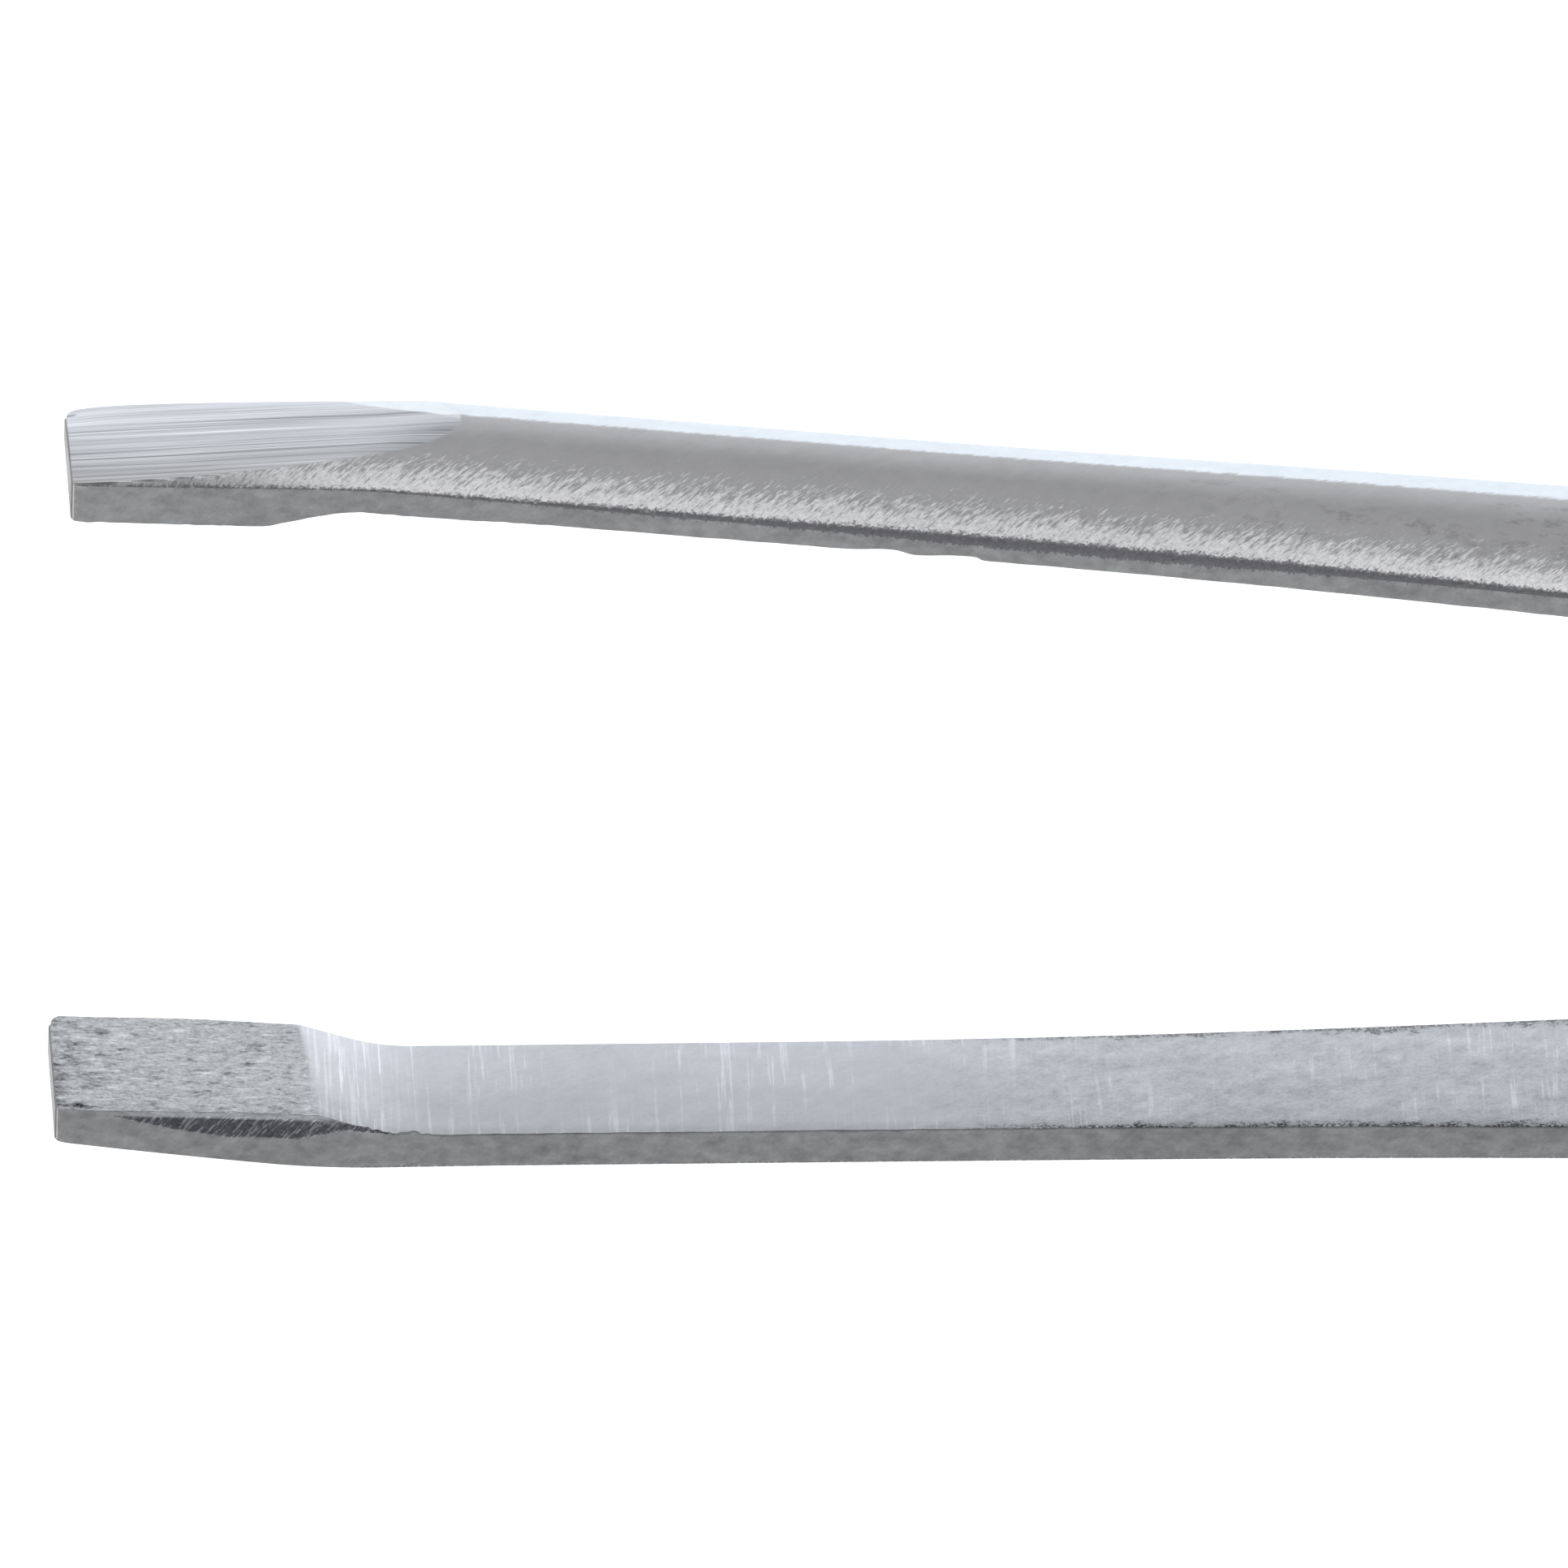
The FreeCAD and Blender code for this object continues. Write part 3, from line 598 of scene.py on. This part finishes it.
def steel_material(name, tones, lean):
    """Ground stainless steel. Each zone has its own base tone, mixed over the ones before it by its
    strength, and its own grinding marks from noise: long streaks on the facet, pits on the pad, lines
    across the ramp, stains on the worn length, patches on the crown, and slanting scratches on its near
    side and the bevel. Light and shade are painted into some tones: painted highlights on the crown's near
    part, its far edge and the wedge beside the facet, a painted reflection on the crown's far side, painted
    light and shade on the near wall, and painted shade in the near corner, on the bevel, on the ends and in
    part on the crown. Base colour = base tone x (1 + sum of share x pattern x amount over the marks).
    Roughness and bump height are sums of the same kind. lean turns the lines across the inner face."""
    material = bpy.data.materials.new(name)
    material.use_nodes = True
    g = Graph(material.node_tree)
    names = "across pad ramp inner side facet edge_way edge_band lip ledge lift soil notch worn far"
    names += " flash fade glow patchy bevel end"
    zone = {name: g.zone(name) for name in names.split()}

    # Noise: waves a millimetre along each axis, turn, detail, roughness and seed
    straight = (0.0, 0.0, 0.0)
    streak_turn = (0.0, -math.atan(0.04), 0.0)
    slant_turn = (0.0, math.radians(-38.0), 0.0)
    bevel_turn = (0.0, 0.0, math.radians(-53.0))
    broad_streaks = g.noise((0.06, 0.1, 2.6), streak_turn, 2.0, 0.6, 5.9)
    long_streaks = g.noise((0.09, 0.2, 9.0), streak_turn, 4.0, 0.7, 3.1)
    fine_streaks = g.noise((0.22, 0.3, 30.0), streak_turn, 3.0, 0.65, 7.7)
    pits = g.noise((6.5, 21.0, 21.0), straight, 4.0, 0.66, 1.3)
    dashes = g.noise((2.6, 11.0, 11.0), straight, 3.0, 0.6, 3.3)
    specks = g.noise((16.0, 16.0, 22.0), straight, 3.0, 0.6, 7.3)
    spots = g.noise((2.2, 5.5, 5.5), straight, 3.0, 0.6, 5.3)
    cross_turn = (0.0, -lean, 0.0)
    cross_lines = g.noise((9.0, 0.5, 0.35), cross_turn, 3.0, 0.7, 2.9)
    more_lines = g.noise((15.0, 0.7, 0.5), cross_turn, 2.0, 0.6, 6.6)
    fine_cross = g.noise((40.0, 1.0, 0.7), cross_turn, 2.0, 0.6, 8.3)
    slants = g.noise((3.1, 2.6, 17.0), slant_turn, 3.0, 0.65, 4.4)
    fine_slants = g.noise((6.0, 4.6, 32.0), slant_turn, 3.0, 0.62, 6.1)
    bevel_slants = g.noise((4.2, 26.0, 3.5), bevel_turn, 3.0, 0.62, 3.7)
    smears = g.noise((1.9, 2.4, 3.4), straight, 7.0, 0.76, 4.9)
    mottle = g.noise((2.4, 4.0, 4.0), (0.0, math.radians(-25.0), 0.0), 4.0, 0.6, 2.2)
    clouds = g.noise((0.35, 1.1, 1.1), straight, 3.0, 0.5, 9.2)
    grain = g.noise((1.2, 42.0, 42.0), straight, 2.0, 0.6, 0.4)

    # The edges between zones, frayed by noise: the painted highlight on the near side, the painted shade in
    # the dark corner and the painted highlight on the bright far edge
    not_facet = g.less(1.0, zone["facet"])
    wander = g.plus(g.times(g.centred(specks), 0.30), zone["edge_way"])
    wander = g.plus(g.times(g.centred(clouds), 0.06), wander)
    streaked = g.plus(g.times(g.centred(slants), 1.1), zone["edge_way"])
    streaked = g.plus(g.times(g.centred(fine_slants), 1.7), streaked)
    # Painted highlight with real scratches: the light zone on the crown's near part
    light = g.times(g.spread(wander, -0.065, 0.06), g.spread(streaked, 0.66, 0.0))
    light = g.times(light, not_facet)
    # Painted shade: the dark band in the corner between the crown and the near wall
    hairs = g.plus(g.times(g.centred(fine_slants), 0.25), wander)
    off_middle = g.math("ABSOLUTE", g.plus(hairs, g.times(zone["edge_band"], 0.42)))
    inside = g.less(g.times(zone["edge_band"], 0.52), off_middle)
    dark = g.times(g.spread(inside, -0.025, 0.03), g.spread(zone["edge_band"], 0.0, 0.03))
    dark = g.times(dark, not_facet)
    # Painted highlight: the bright band along the crown's far edge
    frayed = g.plus(g.times(g.centred(slants), 0.10), zone["across"])
    far = g.times(g.times(zone["far"], not_facet), g.spread(frayed, 0.27, 0.225))

    crown_only = g.less(g.less(not_facet, zone["side"]), zone["inner"])
    crown_only = g.less(crown_only, zone["end"])
    inner_tone = g.mix(zone["across"], tones.inner, tones.inner_near)
    facet_tone = g.mix(zone["across"], tones.facet, tones.facet_near)
    # Painted reflection: the crown's tone lightens towards its far side
    colour = g.mix(zone["glow"], tones.crown, tones.crown_far)
    colour = g.mix(zone["side"], colour, tones.side)
    colour = g.mix(zone["inner"], colour, inner_tone)
    colour = g.mix(g.times(zone["worn"], 0.6), colour, tones.worn)
    colour = g.mix(zone["ramp"], colour, tones.ramp)
    colour = g.mix(zone["pad"], colour, tones.pad)
    # Painted highlight, with its scratches, on the crown's near part
    colour = g.mix(light, colour, tones.light)
    # Painted shade in the corner between the crown and the near wall
    colour = g.mix(dark, colour, tones.edge)
    # Painted highlight along the crown's far edge
    colour = g.mix(far, colour, tones.far_edge)
    colour = g.mix(zone["facet"], colour, facet_tone)
    # Painted highlight on the wedge beside the facet
    colour = g.mix(g.times(zone["flash"], 0.45), colour, tones.wedge)
    # Painted shade on the lower arm's bevel
    colour = g.mix(zone["bevel"], colour, tones.bevel)
    colour = g.mix(zone["ledge"], colour, tones.pad)
    # Painted shade on the flat ends
    colour = g.mix(zone["end"], colour, tones.end)

    lines = g.spread(cross_lines, 0.57, 0.63)
    more = g.times(g.spread(more_lines, 0.52, 0.60), zone["ramp"])
    off_axis = g.less(zone["across"], 0.5)
    rim = g.plus(g.times(off_axis, off_axis), g.times(g.centred(smears), 0.36))
    rim = g.spread(rim, 0.19, 0.245)
    stain = g.times(rim, zone["worn"])
    dark_lines = g.spread(g.noise((0.07, 0.2, 13.0), streak_turn, 3.0, 0.6, 1.9), 0.42, 0.34)
    pale_lines = g.spread(g.noise((0.08, 0.2, 15.0), streak_turn, 3.0, 0.6, 8.8), 0.57, 0.67)
    crown_patches = g.times(zone["patchy"], g.spread(clouds, 0.40, 0.56))
    face_lines = g.times(lines, g.less(zone["inner"], zone["pad"]))
    line_strength = g.plus(g.times(zone["ramp"], 0.6), g.spread(clouds, 0.42, 0.62, 0.1, 0.9))
    # Each mark: the share of the surface that takes it, its pattern and its amount
    marks = [
        (zone["facet"], g.centred(broad_streaks), 0.7),
        (zone["facet"], g.centred(long_streaks), 0.9),
        (zone["facet"], g.centred(fine_streaks), 0.9),
        (zone["facet"], dark_lines, -0.38),
        (zone["facet"], pale_lines, 0.34),
        (zone["pad"], g.centred(pits), 1.3),
        (zone["pad"], g.spread(dashes, 0.54, 0.68), 0.36),
        (zone["pad"], g.spread(dashes, 0.44, 0.32), -0.34),
        (zone["pad"], g.centred(specks), 0.8),
        (zone["pad"], g.spread(spots, 0.45, 0.27), -0.42),
        (face_lines, line_strength, 0.25),
        # Painted light: the crown a little lighter towards its near edge
        (crown_only, g.spread(zone["edge_way"], 1.25, 0.0), 0.17),
        (crown_only, g.spread(specks, 0.34, 0.22), -0.2),
        (crown_patches, g.spread(smears, 0.50, 0.36), -0.26),
        (zone["inner"], g.spread(specks, 0.30, 0.20), -0.3),
        (more, 1.0, 0.16),
        (stain, g.spread(specks, 0.38, 0.55), -0.72),
        (zone["worn"], g.less(smears, 0.52), 0.7),
        (zone["inner"], g.centred(pits), 0.16),
        (zone["inner"], g.spread(zone["across"], 0.88, 1.0), -0.13),
        (zone["soil"], g.spread(spots, 0.56, 0.42), -0.45),
        # Painted highlight: the wedge a little lighter still
        (zone["flash"], 1.0, 0.03),
        (g.times(zone["facet"], zone["fade"]), 1.0, -0.34),
        (zone["lip"], 1.0, -0.5),
        (zone["ledge"], g.plus(g.times(g.centred(pits), 2.2), 0.5), 1.2),
        (zone["notch"], 1.0, -0.6),
        (zone["worn"], g.less(0.42, zone["across"]), 0.16),
        (zone["worn"], g.centred(specks), 0.35),
        (zone["worn"], g.centred(mottle), 0.3),
        (zone["worn"], g.spread(pits, 0.36, 0.26), -0.22),
        (zone["inner"], g.centred(specks), 0.12),
        # Painted light and shade on the near wall, by arm
        (zone["lift"], 1.0, 1.0),
        (zone["ramp"], g.less(0.55, zone["across"]), 0.45),
        (zone["inner"], g.centred(clouds), 0.12),
        (light, g.centred(slants), 0.35),
        (light, g.centred(fine_slants), 1.25),
        (light, g.centred(specks), 0.85),
        (dark, g.centred(specks), 1.0),
        (zone["bevel"], g.spread(bevel_slants, 0.51, 0.63), 1.7),
        (zone["bevel"], g.centred(specks), 1.0),
        (zone["side"], g.centred(clouds), 0.28),
        (zone["side"], g.centred(bevel_slants), 0.3),
        (zone["side"], g.centred(mottle), 0.8),
        (zone["side"], g.centred(specks), 0.2),
        (not_facet, g.centred(clouds), 0.14),
        (not_facet, g.centred(mottle), 0.22),
        (not_facet, g.centred(slants), 0.12),
    ]
    tone = 1.0
    for share, pattern, amount in marks:
        tone = g.plus(tone, g.times(g.times(share, pattern), amount))
    shaded = g.node("ShaderNodeVectorMath", operation="SCALE")
    g.put(shaded.inputs[0], colour)
    g.put(shaded.inputs["Scale"], tone)

    rough = g.plus(0.30, g.times(zone["pad"], 0.16))
    rough = g.plus(rough, g.times(g.centred(clouds), 0.12))
    rough = g.plus(rough, g.times(g.plus(light, dark), 0.08))

    height = g.times(zone["pad"], pits)
    grooves = [
        (zone["facet"], fine_streaks, 0.35),
        (zone["inner"], fine_cross, 0.10),
        (light, fine_slants, 0.25),
        (zone["bevel"], fine_slants, 0.5),
    ]
    for share, pattern, amount in grooves:
        height = g.plus(height, g.times(g.times(share, pattern), amount))
    height = g.plus(height, g.times(grain, 0.05))
    bump = g.node("ShaderNodeBump")
    bump.inputs["Strength"].default_value = 1.0
    bump.inputs["Distance"].default_value = GROOVE_DEPTH
    g.put(bump.inputs["Height"], height)

    shader = g.node("ShaderNodeBsdfPrincipled")
    shader.inputs["Metallic"].default_value = 1.0
    g.put(shader.inputs["Base Color"], shaded.outputs[0])
    g.put(shader.inputs["Roughness"], rough)
    g.put(shader.inputs["Normal"], bump.outputs[0])
    output = g.node("ShaderNodeOutputMaterial")
    g.put(output.inputs["Surface"], shader.outputs[0])
    return material


def shade(name, value, words):
    """A colour property for one zone of the steel."""
    return FloatVectorProperty(
        name=name, description=words, subtype="COLOR", size=4, default=value, min=0.0, max=1.0
    )


class SteelTones(bpy.types.PropertyGroup):
    """Base tones of the steel, zone by zone."""

    # The crown's dark tone is partly its duller finish and partly painted shade, for the darker surroundings
    # it reflects
    crown: shade("Crown", (0.236, 0.237, 0.241, 1.0), "Middle of the crowned outer face")
    # Painted reflection: the crown's tone towards its far side
    crown_far: shade("Crown, far side", (0.340, 0.345, 0.355, 1.0), "Crown beside the painted far edge highlight")
    side: shade("Side", (0.48, 0.485, 0.488, 1.0), "Side walls and ends")
    inner: shade("Inner face", (0.445, 0.463, 0.503, 1.0), "Hollow ground inner face")
    inner_near: shade("Inner face, near side", (0.345, 0.358, 0.380, 1.0), "Inner face along its near side")
    worn: shade("Inner face, worn", (0.372, 0.396, 0.420, 1.0), "Stained length of the inner face")
    ramp: shade("Ramp", (0.470, 0.490, 0.530, 1.0), "Slope and hollow behind the pad")
    pad: shade("Pad", (0.42, 0.435, 0.455, 1.0), "Gripping pad")
    facet: shade("Facet", (0.515, 0.540, 0.585, 1.0), "Wheel-ground facet at the tip")
    facet_near: shade("Facet, near side", (0.300, 0.306, 0.315, 1.0), "Facet along its near side")
    # Painted highlight on the crown's near part, with real scratches in it
    light: shade("Light zone", (0.605, 0.607, 0.618, 1.0), "Near part of the crown, scratched and with a painted highlight")
    # Painted shade: the dark band between the crown and the side
    edge: shade("Dark edge", (0.258, 0.258, 0.274, 1.0), "Soft edge between crown and side")
    # Painted highlight: the bluish white band along the crown's far edge
    far_edge: shade("Far edge", (0.61, 0.665, 0.725, 1.0), "Painted highlight on the far edge of the crown")
    # Painted highlight: the bright wedge beside the facet
    wedge: shade("Wedge", (0.66, 0.68, 0.705, 1.0), "Bright wedge between the facet and the far edge")
    # Painted shade: the dark tone of the bevel under the lower pad
    bevel: shade("Bevel", (0.15, 0.152, 0.165, 1.0), "Bevel under the lower pad")
    # Painted shade: the dark tone of the ends
    end: shade("End", (0.175, 0.178, 0.185, 1.0), "Flat ends at tip and butt")


class StageSettings(bpy.types.PropertyGroup):
    """The view, the floor and the light."""

    tilt: FloatProperty(
        name="View tilt",
        description="Angle from straight down towards the upper arm",
        default=math.radians(41.5),
        subtype="ANGLE",
    )
    roll: FloatProperty(
        name="View roll", description="Turn of the picture", default=math.atan(0.0336), subtype="ANGLE"
    )
    distance: FloatProperty(
        name="Distance", description="Camera to object", default=1.25, unit="LENGTH", min=0.1
    )
    floor_glow: FloatProperty(
        name="Floor glow", description="Light the floor gives off", default=0.85, min=0.0
    )
    sky: FloatProperty(name="Sky", description="Strength of the surrounding light", default=1.0, min=0.0)


class MESH_OT_tweezer_arms(bpy.types.Operator):
    """Adds the two steel arms in place of their plain solids"""

    bl_idname = "mesh.tweezer_arms"
    bl_label = "Add tweezer arms"

    def execute(self, context):
        tones = context.scene.tweezer_tones
        for arm, lean in ((UPPER, 0.0), (LOWER, math.atan(0.07))):
            piece = build_arm(arm, context.scene.collection)
            piece.data.materials.append(steel_material(arm.name + "_finish", tones, lean))
            if arm is UPPER:
                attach(piece, "root")
                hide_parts("upper_arm")
            else:
                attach(piece, "root")
                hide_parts("lower_arm")
        return {"FINISHED"}


class SCENE_OT_tweezer_stage(bpy.types.Operator):
    """Adds the floor, the light all round and the camera"""

    bl_idname = "scene.tweezer_stage"
    bl_label = "Add photo stage"

    def execute(self, context):
        settings = context.scene.tweezer_stage
        add_floor(context, settings)
        add_sky(context, settings)
        add_camera(context, settings)
        context.scene.view_settings.view_transform = "Standard"
        context.scene.view_settings.look = "None"
        return {"FINISHED"}


def add_floor(context, settings):
    """A flat square of 30 m just under the arms, white with a faint grain, and glowing a little."""
    reach, level = 15.0, -0.000002
    ways = ((-1, -1), (1, -1), (1, 1), (-1, 1))
    corners = [(reach * across, reach * along, level) for across, along in ways]
    mesh = bpy.data.meshes.new("floor")
    mesh.from_pydata(corners, [], [(0, 1, 2, 3)])
    floor = bpy.data.objects.new("floor", mesh)
    context.scene.collection.objects.link(floor)
    material = bpy.data.materials.new("floor_paper")
    material.use_nodes = True
    g = Graph(material.node_tree)
    paper = g.spread(g.noise((0.05, 0.05, 0.05), seed=2.0), 0.3, 0.7, 0.86, 0.90)
    colour = g.node("ShaderNodeCombineColor")
    for socket in colour.inputs:
        g.put(socket, paper)
    shader = g.node("ShaderNodeBsdfPrincipled")
    g.put(shader.inputs["Base Color"], colour.outputs[0])
    shader.inputs["Roughness"].default_value = 0.9
    shader.inputs["Specular IOR Level"].default_value = 0.1
    shader.inputs["Emission Color"].default_value = (1.0, 1.0, 1.0, 1.0)
    shader.inputs["Emission Strength"].default_value = settings.floor_glow
    output = g.node("ShaderNodeOutputMaterial")
    g.put(output.inputs["Surface"], shader.outputs[0])
    floor.data.materials.append(material)


# The camera's aim and the width of its picture there, in metres, and its sensor's width in millimetres
AIM = (-0.047025, 0.000132, 0.003883)
PICTURE_WIDTH = 0.02784
SENSOR_WIDTH = 36.0

# Brightness of the surrounding light, by the angle in degrees from straight up towards +Y
SKY = (
    (-180.0, 0.80),
    (-90.0, 0.62),
    (-41.5, 0.47),
    (0.0, 0.42),
    (24.0, 0.34),
    (40.0, 0.32),
    (48.0, 0.60),
    (57.0, 1.10),
    (75.0, 1.10),
    (100.0, 0.95),
    (180.0, 0.80),
)


def add_sky(context, settings):
    """The light all round: brightness by the angle about the X axis, atan2 of Y and Z, from the table SKY,
    dark round the lens and bright beside it. The camera itself sees an even pale backdrop."""
    world = bpy.data.worlds.new("studio")
    context.scene.world = world
    world.use_nodes = True
    g = Graph(world.node_tree)
    split = g.node("ShaderNodeSeparateXYZ")
    g.put(split.inputs[0], g.node("ShaderNodeTexCoord").outputs["Generated"])
    angle = g.math("ARCTAN2", split.outputs[1], split.outputs[2])
    share = g.plus(g.times(angle, 0.5 / math.pi), 0.5)
    ramp = g.node("ShaderNodeValToRGB")
    ramp.color_ramp.interpolation = "B_SPLINE"
    stops = ramp.color_ramp.elements
    while len(stops) < len(SKY):
        stops.new(0.5)
    for stop, (degrees, value) in zip(stops, SKY):
        stop.position = degrees / 360.0 + 0.5
        stop.color = (value, value * 1.005, value * 1.02, 1.0)
    g.put(ramp.inputs["Fac"], share)
    lit = g.node("ShaderNodeBackground")
    g.put(lit.inputs["Color"], ramp.outputs[0])
    lit.inputs["Strength"].default_value = settings.sky
    plain = g.node("ShaderNodeBackground")
    plain.inputs["Color"].default_value = (0.93, 0.935, 0.945, 1.0)
    choose = g.node("ShaderNodeMixShader")
    g.put(choose.inputs[0], g.node("ShaderNodeLightPath").outputs["Is Camera Ray"])
    g.put(choose.inputs[1], lit.outputs[0])
    g.put(choose.inputs[2], plain.outputs[0])
    output = g.node("ShaderNodeOutputWorld")
    g.put(output.inputs["Surface"], choose.outputs[0])


def add_camera(context, settings):
    """A long lens that looks down on the tips from the upper arm's side, with that arm at the top of the
    picture. Focal length = sensor width x distance / width of the picture at the object."""
    tilt, roll = settings.tilt, settings.roll
    back = Vector((0.0, math.sin(tilt), math.cos(tilt)))
    upright = Vector((0.0, math.cos(tilt), -math.sin(tilt)))
    right = math.cos(roll) * Vector((1.0, 0.0, 0.0)) + math.sin(roll) * upright
    up = -math.sin(roll) * Vector((1.0, 0.0, 0.0)) + math.cos(roll) * upright
    aim = Vector(AIM)
    data = bpy.data.cameras.new("camera")
    data.sensor_width = SENSOR_WIDTH
    data.lens = SENSOR_WIDTH * settings.distance / PICTURE_WIDTH
    data.clip_start = 0.01
    data.clip_end = 10.0
    camera = bpy.data.objects.new("camera", data)
    turn = Matrix((right, up, back)).transposed().to_4x4()
    camera.matrix_world = Matrix.Translation(aim + back * settings.distance) @ turn
    context.scene.collection.objects.link(camera)
    context.scene.camera = camera


class VIEW3D_PT_tweezers(bpy.types.Panel):
    """Shows the tones, the stage settings and the two buttons in the sidebar"""

    bl_label = "Tweezers"
    bl_space_type = "VIEW_3D"
    bl_region_type = "UI"
    bl_category = "Tweezers"

    def draw(self, context):
        for settings in (context.scene.tweezer_tones, context.scene.tweezer_stage):
            for name in settings.__annotations__:
                self.layout.prop(settings, name)
        self.layout.operator(MESH_OT_tweezer_arms.bl_idname)
        self.layout.operator(SCENE_OT_tweezer_stage.bl_idname)


CLASSES = (SteelTones, StageSettings, MESH_OT_tweezer_arms, SCENE_OT_tweezer_stage, VIEW3D_PT_tweezers)


def register():
    """Registers the classes and hangs their settings on the scene."""
    for item in CLASSES:
        bpy.utils.register_class(item)
    bpy.types.Scene.tweezer_tones = PointerProperty(type=SteelTones)
    bpy.types.Scene.tweezer_stage = PointerProperty(type=StageSettings)


def unregister():
    """Takes the settings and classes away again."""
    del bpy.types.Scene.tweezer_stage
    del bpy.types.Scene.tweezer_tones
    for item in reversed(CLASSES):
        bpy.utils.unregister_class(item)


def main():
    register()
    bpy.ops.scene.tweezer_stage()
    bpy.ops.mesh.tweezer_arms()


if __name__ == "__main__":
    main()
